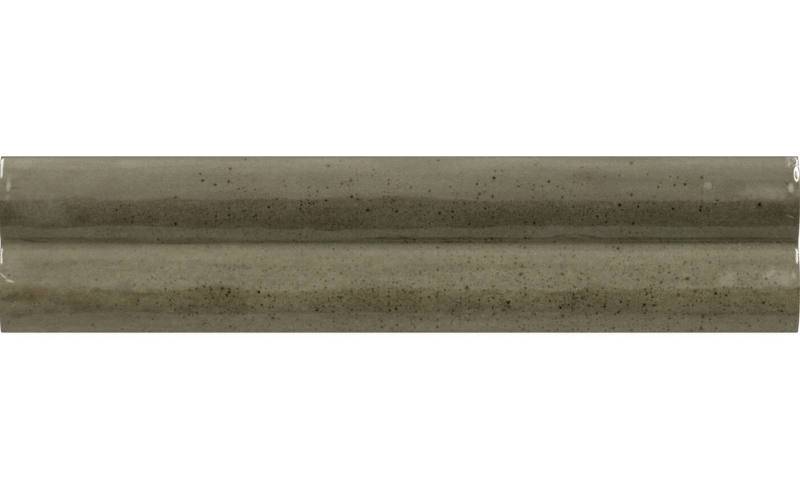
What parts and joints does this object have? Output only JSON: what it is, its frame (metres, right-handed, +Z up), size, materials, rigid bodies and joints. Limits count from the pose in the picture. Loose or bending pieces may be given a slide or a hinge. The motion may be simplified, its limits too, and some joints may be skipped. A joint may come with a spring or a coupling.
{
  "type": "fluted porcelain tile",
  "caption": "Long glazed porcelain tile with rounded lengthwise ribs, edges rounded under the glaze and a keyed back, for walls and splashbacks.",
  "frame": {"origin": "middle of the back, on the flat lands that the tile lies on", "axes": "+X along the ribs, +Y across them, +Z up out of the ribbed face"},
  "size_m": [0.3, 0.0666, 0.0129],
  "materials": {
    "glaze": "gloss"
  },
  "bodies": {
    "root": {"tile": "glaze"}
  },
  "joints": []
}
